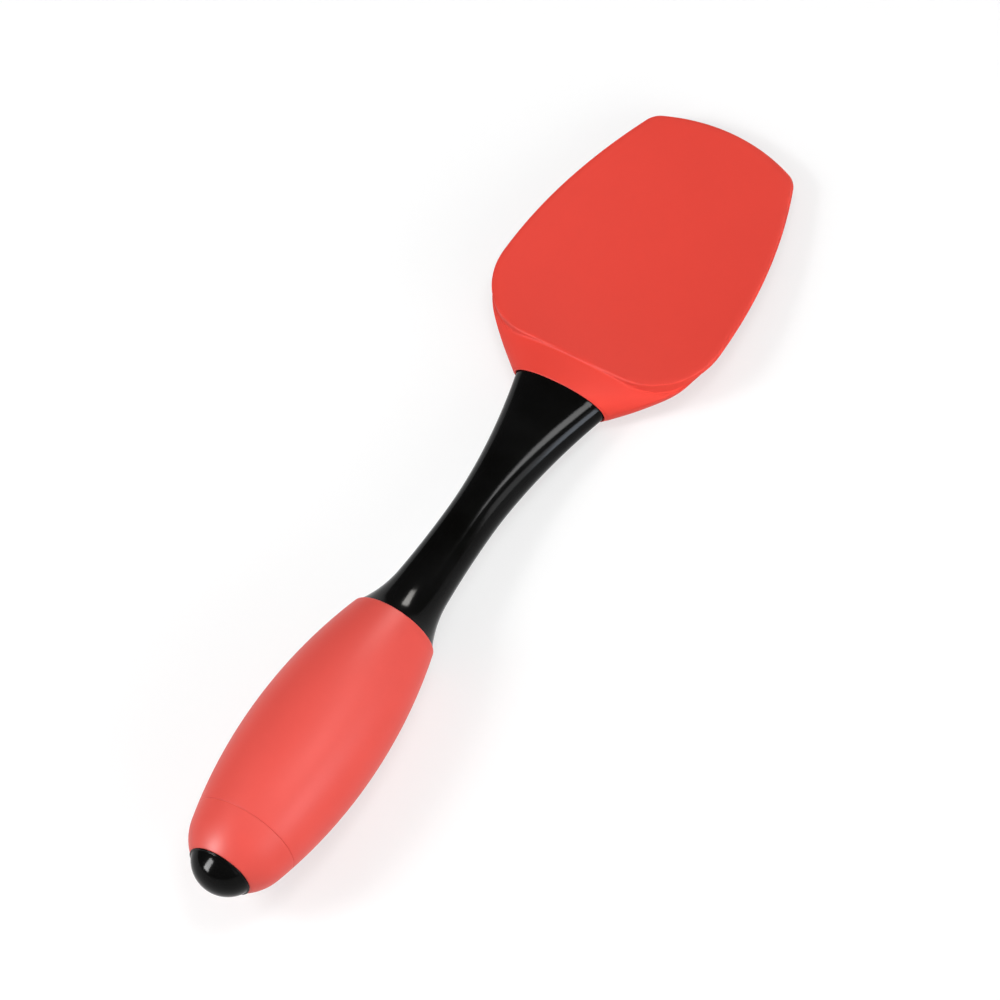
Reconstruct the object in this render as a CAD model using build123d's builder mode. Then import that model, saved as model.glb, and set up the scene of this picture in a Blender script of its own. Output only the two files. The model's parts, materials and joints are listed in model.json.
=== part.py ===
from build123d import *
import os
from math import asin, atan2, cos, hypot, sin, sqrt

os.makedirs("parts", exist_ok=True)

# Spoon-shaped silicone spatula with a barrel grip, lying face up on a table.
# Millimetres. +X across the blade, +Y towards its tip, +Z up. The origin is on the table, under
# the middle of the whole tool. The handle's axis leans down towards the head, because the tool
# rests on the belly of the grip and on the keel of the socket, with the tip of the blade in the air.
# "Station" is a place along the handle's axis, counted from the edge of the grip at the neck and
# positive towards the blade. "Height" is above that axis, square to it.

# Blade: its outline, seen from above
blade_length = 79.7
blade_half_width = 35.1
blade_side_radius = 130.0
blade_tip_radius = 56.0
lower_corner_radius = 19.5
tip_corner_radius = 6.0

# Blade: its dished face and its edge
blade_thickness = 1.5
lower_edge_thickness = 3.0
edge_round = 0.55
rim_height = 8.3
tip_height = 6.9
dish_depth = 2.0
dish_station_shares = (-0.1, 0, 0.13, 0.32, 0.66, 1, 1.1)
dish_depth_shares = (0, 0, 0.55, 1, 0.7, 0, 0)
lower_edge_shares = (1, 1, 0.4, 0, 0, 0, 0)

# Socket: the hull under the blade, from the lip round the neck to where it fades into the blade
lip_wall = 0.5
lower_edge_from_mouth = 8.5
shoulder_drop = 0.7
hull_length = 70.0
hull_inset = 0.8
hull_cover = 0.7
flare_station_shares = (0, 0.25, 0.5, 0.75, 1)
flare_width_shares = (0, 0.41, 0.755, 0.94, 1)
flare_side_shares = (0, 0.28, 0.57, 0.9, 1)
hull_section_count = 11
keel_share = 0.6
keel_step_count = 200
parabola_share = 1 / 3
crown_handle_share = 4 / 3

# Neck
neck_length = 80.0
neck_end_half_width = 14.0
neck_end_half_height = 6.9
waist_radius = 6.95
waist_from_grip = 36.3
flare_foot_radius = 7.9
flare_foot_from_grip = 12.5
collar_radius = 11.5
neck_growth_power = 1.8
neck_station_shares = (0, 0.2, 0.4, 0.6, 0.8, 1)

# Tongue of the neck, inside the socket
seat_depth = 2.0
tongue_length = 33.0
tongue_base_width = 20.0
tongue_tip_width = 16.0
tongue_base_thickness = 5.0
tongue_tip_thickness = 3.6
tongue_corner = 1.2
tongue_top_height = 3.4
head_clearance = 0.15
tongue_end_gap = 1.0

# Grip: outside
grip_length = 87.0
grip_radius = 18.55
belly_from_neck = 43.5
grip_mouth_radius = 12.1
seam_from_neck = 75.8
seam_radius = 14.95
seam_gap = 0.2
butt_curve_from_neck = 79.1
butt_face_radius = 9.4

# Grip: inside
skin_thickness = 2.0
core_wall = 2.2
core_end_wall = 4.0
collar_depth = 3.0
lap_length = 4.0
lap_wall = 1.6
stem_radius = 6.0
stem_end_inset = 1.5
butt_spigot_radius = 9.0
fit_gap = 0.05

# End cap
dome_radius = 8.4
dome_height = 5.5
flange_radius = 9.7
flange_thickness = 0.6
cap_spigot_radius = 3.0
cap_spigot_length = 14.0

# Cuts run past the surface by this much
overrun = 5.0

# Stations that several pieces share
belly_station = -belly_from_neck
seam_station = -seam_from_neck
butt_station = -grip_length
collar_station = -collar_depth
mouth_station = neck_length
neck_end_station = mouth_station + seat_depth
lower_edge_station = mouth_station + lower_edge_from_mouth
widest_station = lower_edge_station + lower_corner_radius
tip_station = lower_edge_station + blade_length
hull_end_station = mouth_station + hull_length
mouth_half_width = neck_end_half_width + head_clearance + lip_wall
mouth_half_height = neck_end_half_height + head_clearance + lip_wall


def arc_through(run, rise):
    """Radius of the arc that leaves the belly along the axis and has drawn in by rise after run."""
    return (run**2 + rise**2) / (2 * rise)


def between(value, places, sizes):
    """Size at a value, on straight lines between the sizes given at some places."""
    for near, far, near_size, far_size in zip(places, places[1:], sizes, sizes[1:]):
        if near <= value <= far:
            return near_size + (far_size - near_size) * (value - near) / (far - near)
    raise ValueError("the value lies outside the places")


def face_heights(station):
    """Height of the blade's face on its centre line, and at its sides."""
    share = (station - lower_edge_station) / blade_length
    side = rim_height + (tip_height - rim_height) * share
    return side - dish_depth * between(share, dish_station_shares, dish_depth_shares), side


def face_height(station, half_width):
    """Height of the blade's face off its centre line: the dish is a parabola across the blade."""
    centre, side = face_heights(station)
    return centre + (side - centre) * (half_width / blade_half_width) ** 2


def keel_height(station):
    """Height of the hull's lowest line, which sinks into the blade where the hull ends."""
    share = (station - mouth_station) / hull_length
    end_height = face_heights(hull_end_station)[0] - blade_thickness + edge_round / 2
    return (end_height + mouth_half_height) * share**2 * (3 - 2 * share) - mouth_half_height


front_arc_radius = arc_through(belly_from_neck, grip_radius - grip_mouth_radius)
back_arc_radius = arc_through(seam_from_neck - belly_from_neck, grip_radius - seam_radius)

# How the tool lies: the table touches the front arc of the belly and the keel of the hull
arc_centre_height = front_arc_radius - grip_radius


def lean_onto(station):
    """Lean of the handle if the table touched the keel at this station."""
    run = station - belly_station
    drop = arc_centre_height - keel_height(station)
    return asin(front_arc_radius / hypot(run, drop)) - atan2(drop, run)


keel_stations = [mouth_station + hull_length * step / keel_step_count for step in range(keel_step_count)]
lean = min(lean_onto(station) for station in keel_stations)
dome_sphere_radius = (dome_radius**2 + dome_height**2) / (2 * dome_height)
dome_centre_station = butt_station - flange_thickness - dome_height + dome_sphere_radius
butt_reach = dome_sphere_radius - dome_centre_station * cos(lean)
tip_reach = tip_station * cos(lean) + tip_height * sin(lean)
axis_height = front_arc_radius + belly_station * sin(lean) - arc_centre_height * cos(lean)
grip_edge = Vector(0, (butt_reach - tip_reach) / 2, axis_height)

# Planes and axis of the handle
along = Vector(0, cos(lean), -sin(lean))
upwards = Vector(0, sin(lean), cos(lean))
handle_axis = Axis(grip_edge, along)
plan_plane = Plane(origin=grip_edge, x_dir=(1, 0, 0), z_dir=upwards)
profile_plane = Plane(origin=grip_edge, x_dir=along, z_dir=(1, 0, 0))
grip_edge_plane = Plane(origin=grip_edge, x_dir=(-1, 0, 0), z_dir=along)


def across(station):
    """Plane square to the handle at a station, its y axis pointing up."""
    return grip_edge_plane.offset(station)


# Blade
def crown(half_width, side, middle, spread_share):
    """Curve from side to side that passes its middle height: half an ellipse at a spread of 1, a
    parabola at a third."""
    reach = half_width * spread_share
    handle = side + crown_handle_share * (middle - side)
    Bezier((-half_width, side), (-reach, handle), (reach, handle), (half_width, side))


with BuildPart() as blade:
    slab_half_width = blade_half_width + overrun
    for station_share, lower_share in zip(dish_station_shares, lower_edge_shares):
        slab_station = lower_edge_station + blade_length * station_share
        thickness = blade_thickness + (lower_edge_thickness - blade_thickness) * lower_share
        with BuildSketch(across(slab_station)):
            with BuildLine():
                middle = face_heights(slab_station)[0]
                top = face_height(slab_station, slab_half_width)
                bottom = top - thickness
                crown(slab_half_width, top, middle, parabola_share)
                Line((slab_half_width, top), (slab_half_width, bottom))
                crown(slab_half_width, bottom, middle - thickness, parabola_share)
                Line((-slab_half_width, top), (-slab_half_width, bottom))
            make_face()
    loft()
    side_centre = blade_side_radius - blade_half_width
    with BuildSketch(plan_plane):
        with Locations((side_centre, widest_station)):
            Circle(blade_side_radius)
        with Locations((-side_centre, widest_station)):
            Circle(blade_side_radius, mode=Mode.INTERSECT)
        with Locations((0, tip_station - blade_tip_radius)):
            Circle(blade_tip_radius, mode=Mode.INTERSECT)
        with Locations((0, lower_edge_station)):
            Rectangle(
                2 * slab_half_width,
                blade_length + overrun,
                align=(Align.CENTER, Align.MIN),
                mode=Mode.INTERSECT,
            )
        corners = vertices().sort_by(Axis.Y)
        fillet(corners[:2], lower_corner_radius)
        fillet(corners[-2:], tip_corner_radius)
    extrude(amount=rim_height + overrun, mode=Mode.INTERSECT)
    fillet(blade.faces().sort_by(Axis(grip_edge, upwards))[-1].edges(), edge_round)
    fillet(blade.faces().sort_by(Axis(grip_edge, upwards))[0].edges(), edge_round)


# Silicone head: the blade, the hull of the socket under it, and the socket's lip and two hollows
def outline_half_width(station):
    """Half width of the blade's outline beside its straight or rounded sides."""
    reach = sqrt(blade_side_radius**2 - (station - widest_station) ** 2)
    return blade_half_width - blade_side_radius + reach


def hull_sizes(station):
    """Half width of the hull at a station, the share by which its sides have turned up to the
    blade, and its heights at the top and at the sides."""
    flare_share = min((station - mouth_station) / (widest_station - mouth_station), 1)
    turned = between(flare_share, flare_station_shares, flare_side_shares)
    full_half_width = outline_half_width(max(station, widest_station)) - hull_inset
    widening = between(flare_share, flare_station_shares, flare_width_shares)
    half_width = mouth_half_width + (full_half_width - mouth_half_width) * widening
    if station < lower_edge_station:
        shoulder_height = rim_height - shoulder_drop
        climb = (station - mouth_station) / lower_edge_from_mouth
        top = mouth_half_height + (shoulder_height - mouth_half_height) * climb
        return half_width, turned, top, shoulder_height * turned
    top = face_heights(station)[0] - hull_cover
    return half_width, turned, top, (face_height(station, half_width) - hull_cover) * turned


def upper_curve(station):
    """Top of the hull's section: half an ellipse at the mouth that flattens as the sides turn up."""
    half_width, turned, top, side = hull_sizes(station)
    crown(half_width, side, top, 1 - (1 - parabola_share) * turned)


def keel_curve(station):
    """Underside of the hull's section."""
    half_width, turned, top, side = hull_sizes(station)
    share = (station - mouth_station) / hull_length
    crown(half_width, side, keel_height(station), 1 - (1 - keel_share) * share)


recess_station = neck_end_station + head_clearance

with BuildPart() as socket_lip:
    for lip_station in (mouth_station, recess_station):
        with BuildSketch(across(lip_station)):
            with BuildLine():
                upper_curve(lip_station)
                keel_curve(lip_station)
            make_face()
    loft()
    with BuildSketch(across(mouth_station - overrun)):
        Ellipse(neck_end_half_width + head_clearance, neck_end_half_height + head_clearance)
    extrude(amount=overrun + seat_depth + head_clearance, mode=Mode.SUBTRACT)

with BuildPart() as silicone_head:
    add(blade.part)
    hull_step = (hull_end_station - recess_station) / (hull_section_count - 1)
    for section_number in range(hull_section_count):
        hull_station = recess_station + hull_step * section_number
        with BuildSketch(across(hull_station)):
            with BuildLine():
                upper_curve(hull_station)
                keel_curve(hull_station)
            make_face()
    loft()
    pocket_end_station = neck_end_station + tongue_length + tongue_end_gap
    for pocket_station, width, thickness in zip(
        (neck_end_station, pocket_end_station),
        (tongue_base_width, tongue_tip_width),
        (tongue_base_thickness, tongue_tip_thickness),
    ):
        with BuildSketch(across(pocket_station)):
            with Locations((0, tongue_top_height - thickness / 2)):
                RectangleRounded(
                    width + 2 * head_clearance,
                    thickness + 2 * head_clearance,
                    tongue_corner + head_clearance,
                )
    loft(mode=Mode.SUBTRACT)
    add(socket_lip.part)

silicone_head.part.label = "silicone_head"
export_step(silicone_head.part, "parts/silicone_head.step")


# Neck: tongue, flared end, waist, trumpet flare, collar and the stem through the grip
with BuildPart() as neck:
    waist_run = neck_length - waist_from_grip
    for station_share in neck_station_shares:
        growth = station_share**neck_growth_power
        with BuildSketch(across(waist_from_grip + waist_run * station_share)):
            Ellipse(
                waist_radius + (neck_end_half_width - waist_radius) * growth,
                waist_radius + (neck_end_half_height - waist_radius) * growth,
            )
    loft()
    with BuildSketch(across(mouth_station)):
        Ellipse(neck_end_half_width, neck_end_half_height)
    extrude(amount=seat_depth)
    for tongue_station, width, thickness in zip(
        (neck_end_station, neck_end_station + tongue_length),
        (tongue_base_width, tongue_tip_width),
        (tongue_base_thickness, tongue_tip_thickness),
    ):
        with BuildSketch(across(tongue_station)):
            with Locations((0, tongue_top_height - thickness / 2)):
                RectangleRounded(width, thickness, tongue_corner)
    loft()
    stem_end_station = butt_station + stem_end_inset
    bore_end_station = butt_station + cap_spigot_length + stem_end_inset
    waist_arc_radius = arc_through(
        waist_from_grip - flare_foot_from_grip, flare_foot_radius - waist_radius
    )
    foot_slope = (waist_from_grip - flare_foot_from_grip) / waist_arc_radius
    with BuildSketch(profile_plane):
        with BuildLine():
            Line((waist_from_grip, 0), (waist_from_grip, waist_radius))
            RadiusArc(
                (waist_from_grip, waist_radius),
                (flare_foot_from_grip, flare_foot_radius),
                waist_arc_radius,
            )
            TangentArc(
                (flare_foot_from_grip, flare_foot_radius),
                (0, collar_radius),
                tangent=(-1, foot_slope),
            )
            Polyline(
                (0, collar_radius),
                (collar_station, collar_radius),
                (collar_station, stem_radius),
                (stem_end_station, stem_radius),
                (stem_end_station, cap_spigot_radius + fit_gap),
                (bore_end_station, cap_spigot_radius + fit_gap),
                (bore_end_station, 0),
                (waist_from_grip, 0),
            )
        make_face()
    revolve(axis=handle_axis)

neck.part.label = "neck"
export_step(neck.part, "parts/neck.step")


# Grip: every wall of the barrel lies a named depth under the same two arcs
def barrel_radius(station, depth):
    """Radius of the barrel at a station, at a depth under its surface."""
    arc_radius = front_arc_radius if station > belly_station else back_arc_radius
    reach = sqrt((arc_radius - depth) ** 2 - (station - belly_station) ** 2)
    return grip_radius - arc_radius + reach


def barrel_arc(start, end, depth):
    """Arc of the barrel between two stations on one side of the belly, at a depth."""
    middle = (start + end) / 2
    stations = (start, middle, end)
    ThreePointArc(*[(station, barrel_radius(station, depth)) for station in stations])


core_depth = skin_thickness + fit_gap
core_inner_depth = core_depth + core_wall
core_start = collar_station - fit_gap
hub_radius = stem_radius + fit_gap

with BuildPart() as grip_sleeve:
    with BuildSketch(profile_plane):
        with BuildLine():
            barrel_arc(0, belly_station, 0)
            barrel_arc(belly_station, seam_station, 0)
            Line(
                (seam_station, barrel_radius(seam_station, 0)),
                (seam_station, barrel_radius(seam_station, skin_thickness)),
            )
            barrel_arc(seam_station, belly_station, skin_thickness)
            barrel_arc(belly_station, collar_station, skin_thickness)
            Polyline(
                (collar_station, barrel_radius(collar_station, skin_thickness)),
                (collar_station, collar_radius + fit_gap),
                (0, collar_radius + fit_gap),
                (0, barrel_radius(0, 0)),
            )
        make_face()
    revolve(axis=handle_axis)

grip_sleeve.part.label = "grip_sleeve"
export_step(grip_sleeve.part, "parts/grip_sleeve.step")

with BuildPart() as grip_core_front:
    front_wall_station = core_start - core_end_wall
    lap_end_station = belly_station - lap_length
    lap_outer_radius = barrel_radius(lap_end_station, core_inner_depth) - fit_gap
    lap_inner_radius = lap_outer_radius - lap_wall
    lap_root_station = belly_station + lap_wall
    with BuildSketch(profile_plane):
        with BuildLine():
            barrel_arc(core_start, belly_station, core_depth)
            Polyline(
                (belly_station, barrel_radius(belly_station, core_depth)),
                (belly_station, lap_outer_radius),
                (lap_end_station, lap_outer_radius),
                (lap_end_station, lap_inner_radius),
                (lap_root_station, lap_inner_radius),
                (lap_root_station, barrel_radius(lap_root_station, core_inner_depth)),
            )
            barrel_arc(lap_root_station, front_wall_station, core_inner_depth)
            Polyline(
                (front_wall_station, barrel_radius(front_wall_station, core_inner_depth)),
                (front_wall_station, hub_radius),
                (core_start, hub_radius),
                (core_start, barrel_radius(core_start, core_depth)),
            )
        make_face()
    revolve(axis=handle_axis)

grip_core_front.part.label = "grip_core_front"
export_step(grip_core_front.part, "parts/grip_core_front.step")

with BuildPart() as grip_core_back:
    joint_station = belly_station - fit_gap
    back_wall_station = seam_station + core_end_wall
    with BuildSketch(profile_plane):
        with BuildLine():
            barrel_arc(joint_station, seam_station, core_depth)
            Polyline(
                (seam_station, barrel_radius(seam_station, core_depth)),
                (seam_station, butt_spigot_radius + fit_gap),
                (back_wall_station, butt_spigot_radius + fit_gap),
                (back_wall_station, barrel_radius(back_wall_station, core_inner_depth)),
            )
            barrel_arc(back_wall_station, joint_station, core_inner_depth)
            Line(
                (joint_station, barrel_radius(joint_station, core_inner_depth)),
                (joint_station, barrel_radius(joint_station, core_depth)),
            )
        make_face()
    revolve(axis=handle_axis)

grip_core_back.part.label = "grip_core_back"
export_step(grip_core_back.part, "parts/grip_core_back.step")

with BuildPart() as grip_end_collar:
    ring_start = seam_station - seam_gap
    butt_curve_station = -butt_curve_from_neck
    butt_curve_run = belly_station - butt_curve_station
    butt_curve_slope = butt_curve_run / sqrt(back_arc_radius**2 - butt_curve_run**2)
    with BuildSketch(profile_plane):
        with BuildLine():
            barrel_arc(ring_start, butt_curve_station, 0)
            TangentArc(
                (butt_curve_station, barrel_radius(butt_curve_station, 0)),
                (butt_station, butt_face_radius),
                tangent=(-1, -butt_curve_slope),
            )
            Polyline(
                (butt_station, butt_face_radius),
                (butt_station, hub_radius),
                (back_wall_station, hub_radius),
                (back_wall_station, butt_spigot_radius),
                (ring_start, butt_spigot_radius),
                (ring_start, barrel_radius(ring_start, 0)),
            )
        make_face()
    revolve(axis=handle_axis)

grip_end_collar.part.label = "grip_end_collar"
export_step(grip_end_collar.part, "parts/grip_end_collar.step")

# End cap: flange, dome and the spigot that presses into the stem
with BuildPart() as end_cap:
    flange_station = butt_station - flange_thickness
    spigot_end_station = butt_station + cap_spigot_length
    apex_station = flange_station - dome_height
    with BuildSketch(profile_plane):
        with BuildLine():
            RadiusArc(
                (flange_station, dome_radius),
                (apex_station, 0),
                -dome_sphere_radius,
            )
            Polyline(
                (apex_station, 0),
                (spigot_end_station, 0),
                (spigot_end_station, cap_spigot_radius),
                (butt_station, cap_spigot_radius),
                (butt_station, flange_radius),
                (flange_station, flange_radius),
                (flange_station, dome_radius),
            )
        make_face()
    revolve(axis=handle_axis)

end_cap.part.label = "end_cap"
export_step(end_cap.part, "parts/end_cap.step")
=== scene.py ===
# %% [markdown]
# # A red silicone spatula
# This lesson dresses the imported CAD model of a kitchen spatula. The CAD file already gives the
# true size and place of every piece, so nothing is fitted here: each piece is modelled again, with
# the soft edges, hollows and finishes that a photograph shows, and stands where its CAD solid
# stands.

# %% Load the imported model
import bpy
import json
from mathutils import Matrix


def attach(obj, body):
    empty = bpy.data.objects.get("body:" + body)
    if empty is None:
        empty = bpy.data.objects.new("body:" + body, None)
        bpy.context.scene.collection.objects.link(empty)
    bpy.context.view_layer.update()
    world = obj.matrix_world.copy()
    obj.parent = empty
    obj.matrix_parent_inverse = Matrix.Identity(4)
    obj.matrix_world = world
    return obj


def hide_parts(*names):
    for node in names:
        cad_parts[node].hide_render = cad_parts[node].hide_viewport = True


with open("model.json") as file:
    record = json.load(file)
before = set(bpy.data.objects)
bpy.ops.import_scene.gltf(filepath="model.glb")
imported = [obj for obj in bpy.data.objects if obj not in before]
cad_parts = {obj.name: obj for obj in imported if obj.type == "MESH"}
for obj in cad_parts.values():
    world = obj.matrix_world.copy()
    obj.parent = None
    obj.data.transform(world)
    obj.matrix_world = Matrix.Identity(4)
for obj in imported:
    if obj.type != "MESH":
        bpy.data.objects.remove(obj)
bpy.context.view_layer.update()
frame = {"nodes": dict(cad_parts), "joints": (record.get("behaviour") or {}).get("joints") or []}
print("pieces in the packed model:", ", ".join(sorted(frame["nodes"])))

# %% Tools of this lesson
import json
from math import atan2, cos, degrees, pi, radians, sin, sqrt

import bmesh
import bpy
from mathutils import Matrix, Vector

# %% [markdown]
# ## The handle's own frame
# The tool lies on a table with its handle leaning down towards the blade. Every piece is round or
# straight about that leaning line, so it is far easier to model along it: x across the tool, y
# along the handle, counted from the front edge of the grip in the CAD model, and z up out of the
# dished face, all in millimetres. One matrix then leans the finished piece and brings it to metres
# on the table. The lean is read off the joint that slides the head along the handle.

# %% From the handle to the table
mm = 0.001
handle_direction = Vector(frame["joints"][0]["axis"])
lean = atan2(-handle_direction.z, handle_direction.y)
grip_edge = Vector((0, -0.037689, 0.015123))
to_table = Matrix.Translation(grip_edge) @ Matrix.Rotation(-lean, 4, "X") @ Matrix.Scale(mm, 4)
print(f"the handle leans by {degrees(lean):.2f} degrees")

# %% [markdown]
# ## The camera
# The photograph was taken from well above, with a long lens: its outline fits a camera ten metres
# away. Azimuth and elevation say where the camera stands, roll says how the picture is turned, and
# the scale says how many pixels a metre near the tool fills in a picture a thousand pixels wide.

# %% Camera
camera_azimuth = radians(54.40)
camera_elevation = radians(60.16)
camera_roll = radians(-24.99)
camera_distance = 10.0
picture_size = 1000
pixels_per_metre = 3744.5
origin_in_picture = (483.50, 534.80)
sensor_width = 36.0

towards_camera = Vector((
    sin(camera_azimuth) * cos(camera_elevation),
    -cos(camera_azimuth) * cos(camera_elevation),
    sin(camera_elevation),
))
level_right = Vector((0, 0, 1)).cross(towards_camera).normalized()
level_up = towards_camera.cross(level_right)
picture_right = cos(camera_roll) * level_right + sin(camera_roll) * level_up
picture_up = cos(camera_roll) * level_up - sin(camera_roll) * level_right
picture_middle = (
    picture_right * (picture_size / 2 - origin_in_picture[0]) / pixels_per_metre
    + picture_up * (origin_in_picture[1] - picture_size / 2) / pixels_per_metre
)

camera_data = bpy.data.cameras.new("photo_camera")
camera_data.sensor_width = sensor_width
camera_data.lens = pixels_per_metre * camera_distance / picture_size * sensor_width
camera = bpy.data.objects.new("photo_camera", camera_data)
camera_place = Matrix.Translation(picture_middle + towards_camera * camera_distance)
camera_turn = Matrix((picture_right, picture_up, towards_camera)).transposed().to_4x4()
camera.matrix_world = camera_place @ camera_turn
bpy.context.scene.collection.objects.link(camera)
bpy.context.scene.camera = camera
bpy.context.scene.view_settings.view_transform = "Standard"
print(f"lens {camera_data.lens:.0f} mm, camera {camera.location.z:.2f} m above the table")

# %% [markdown]
# ## Node materials as sums
# A shader is a small program of nodes. Adding each node by hand hides what it works out, so one
# class wraps a socket and lets Python's own signs build the Math nodes, and one method makes any
# other node: its settings first, then what goes into its sockets.


# %% Write shader maths as Python
class Wire:
    """A value that flows out of a node; sums with it become Math nodes."""

    def __init__(self, recipe, socket):
        self.recipe = recipe
        self.socket = socket

    def maths(self, operation, first, second):
        return self.recipe.node("ShaderNodeMath", {"operation": operation}, {0: first, 1: second})

    def __add__(self, other):
        return self.maths("ADD", self, other)

    def __radd__(self, other):
        return self.maths("ADD", other, self)

    def __mul__(self, other):
        return self.maths("MULTIPLY", self, other)


class Recipe:
    """The node tree of a material or of the world, built up node by node."""

    def __init__(self, owner):
        owner.use_nodes = True
        self.owner = owner
        self.tree = owner.node_tree
        self.tree.nodes.clear()

    def node(self, kind, settings=None, inputs=None, output=0):
        """Adds a node and gives the wire that comes out of it."""
        made = self.tree.nodes.new(kind)
        for name, value in (settings or {}).items():
            setattr(made, name, value)
        for name, value in (inputs or {}).items():
            if isinstance(value, Wire):
                self.tree.links.new(value.socket, made.inputs[name])
            else:
                made.inputs[name].default_value = value
        return Wire(self, made.outputs[output]) if len(made.outputs) else made

    def place(self):
        """Where a point lies on its own object, in metres."""
        return self.node("ShaderNodeTexCoord", None, None, "Object")

    def noise(self, place, scale, detail, roughness=0.5):
        inputs = {"Vector": place, "Scale": scale, "Detail": detail, "Roughness": roughness}
        return self.node("ShaderNodeTexNoise", None, inputs, "Fac")

    def remap(self, value, from_low, from_high, to_low, to_high):
        inputs = {
            "Value": value,
            "From Min": from_low,
            "From Max": from_high,
            "To Min": to_low,
            "To Max": to_high,
        }
        return self.node("ShaderNodeMapRange", None, inputs)

    def mix_colours(self, factor, first, second):
        inputs = {0: factor, 6: first, 7: second}
        return self.node("ShaderNodeMix", {"data_type": "RGBA"}, inputs, 2)

    def bump(self, height, distance, strength, under=None):
        inputs = {"Height": height, "Distance": distance, "Strength": strength}
        if under is not None:
            inputs["Normal"] = under
        return self.node("ShaderNodeBump", None, inputs)

    def seen(self):
        """1 for rays that show a thing: from the camera, by gloss or through glass."""
        kinds = ("Is Camera Ray", "Is Glossy Ray", "Is Transmission Ray")
        return sum(self.node("ShaderNodeLightPath", None, None, kind) for kind in kinds)

    def finish(self, shader):
        """Ends the recipe with a shader and gives its material."""
        self.node("ShaderNodeOutputMaterial", None, {"Surface": shader})
        return self.owner


print("shader tools ready")

# %% [markdown]
# ## The room
# A product shot like this one is taken on a pale sweep under soft boxes. The floor is a large
# sheet of near-white card. Less than half of its white is its own colour, which keeps the tool's
# shadow, and the rest is a glow that only the camera, gloss and glass see, so that the card throws
# little red light about and puts none of its own on the tool. The world gives an even grey fill
# light from everywhere, yet gloss sees it darker still: the black plastic in the photograph
# mirrors a dark room.

# %% Floor
floor_half_size = 20.0
floor_level = -0.00005
floor_colour = (0.42, 0.42, 0.42, 1)
floor_glow = 0.6

floor_recipe = Recipe(bpy.data.materials.new("pale_card"))
seen = floor_recipe.seen()
card = floor_recipe.node("ShaderNodeBsdfDiffuse", None, {"Color": floor_colour})
glow = floor_recipe.node("ShaderNodeEmission", None, {"Strength": seen * floor_glow})
glowing_card = floor_recipe.node("ShaderNodeAddShader", None, {0: card, 1: glow})
pale_card = floor_recipe.finish(glowing_card)

floor_bm = bmesh.new()
bmesh.ops.create_grid(floor_bm, x_segments=1, y_segments=1, size=floor_half_size)
bmesh.ops.translate(floor_bm, verts=floor_bm.verts, vec=(0, 0, floor_level))
floor_mesh = bpy.data.meshes.new("floor")
floor_bm.to_mesh(floor_mesh)
floor_bm.free()
floor = bpy.data.objects.new("floor", floor_mesh)
floor.data.materials.append(pale_card)
bpy.context.scene.collection.objects.link(floor)
print("floor", 2 * floor_half_size, "m wide")

# %% World
fill_light = 0.27
room_level = 0.09
white = (1, 1, 1, 1)

world = bpy.data.worlds.new("studio")
bpy.context.scene.world = world
room = Recipe(world)
level = fill_light + room.seen() * (room_level - fill_light)
background = room.node("ShaderNodeBackground", None, {"Color": white, "Strength": level})
room.node("ShaderNodeOutputWorld", None, {"Surface": background})
print("fill light", fill_light)

# %% [markdown]
# ## The lamps
# Where gloss shows a lamp, the lamp's direction follows: it is the view turned about the surface's
# normal. The grey streak that runs down the neck from its right shoulder is the main soft box,
# high up beyond the tool on the right. The spot on the trumpet flare needs a lower one beyond the
# blade. The dome shows two more: a tall one behind the butt on the left, and a small one almost
# overhead. A faint bluish one lines the neck's right flank. How the red rubber is lit says
# something else: its light comes softly from all sides. So the boxes show in the gloss alone, and
# wide panels shed the light. Only the two panels on the right show in the gloss too, as the broad
# pale band along the grip's right side.

# %% Lamps
lamp_distance = 1.0
white_cloth = (1, 1, 1)
warm_cloth = (1, 0.98, 0.94)
cool_cloth = (0.78, 0.87, 1)


def hang_lamp(name, direction, width, height, radiance, tint=white_cloth, shines=True, sheds=True):
    """A soft box that faces the tool from a direction; radiance is how bright its cloth looks."""
    data = bpy.data.lights.new(name, "AREA")
    data.shape = "RECTANGLE"
    data.size = width
    data.size_y = height
    data.energy = radiance * pi * width * height
    data.color = tint
    lamp = bpy.data.objects.new(name, data)
    towards_lamp = Vector(direction).normalized()
    lamp.location = towards_lamp * lamp_distance
    lamp.rotation_mode = "QUATERNION"
    lamp.rotation_quaternion = towards_lamp.to_track_quat("Z", "Y")
    lamp.visible_camera = False
    lamp.visible_glossy = shines
    lamp.visible_diffuse = sheds
    bpy.context.scene.collection.objects.link(lamp)


hang_lamp("main_box", (0.58, 0.29, 0.76), 0.24, 0.24, 28.0, sheds=False)
hang_lamp("small_box", (-0.35, -0.32, 0.88), 0.16, 0.16, 34.0, sheds=False)
hang_lamp("tall_box", (-0.41, -0.79, 0.44), 0.24, 0.6, 60.0, sheds=False)
hang_lamp("far_box", (0.04, 0.87, 0.47), 0.22, 0.34, 44.0, warm_cloth, sheds=False)
hang_lamp("edge_box", (0.96, 0.10, 0.25), 0.16, 0.35, 22.0, cool_cloth, sheds=False)
hang_lamp("overhead_panel", (0.27, 0.09, 0.95), 0.3, 0.3, 9.3, shines=False)
hang_lamp("left_panel", (-0.45, -0.45, 0.75), 0.3, 0.3, 12.5, shines=False)
hang_lamp("butt_panel", (-0.66, -0.58, 0.48), 0.25, 0.45, 5.4, shines=False)
hang_lamp("right_panel", (0.96, 0.10, 0.25), 0.6, 0.4, 6.2)
hang_lamp("near_panel", (0.88, -0.25, 0.40), 0.8, 0.6, 2.1)
print("lamps hung", lamp_distance, "m away")

# %% [markdown]
# ## Finishes
# Every finish is worked out from the object's own coordinates, so it sticks to the piece and needs
# no picture. Silicone is matte and even, with a cloudy drift of colour a few centimetres wide, a
# faint bloom and a grain far finer than a millimetre, left by the blasted mould.

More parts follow.
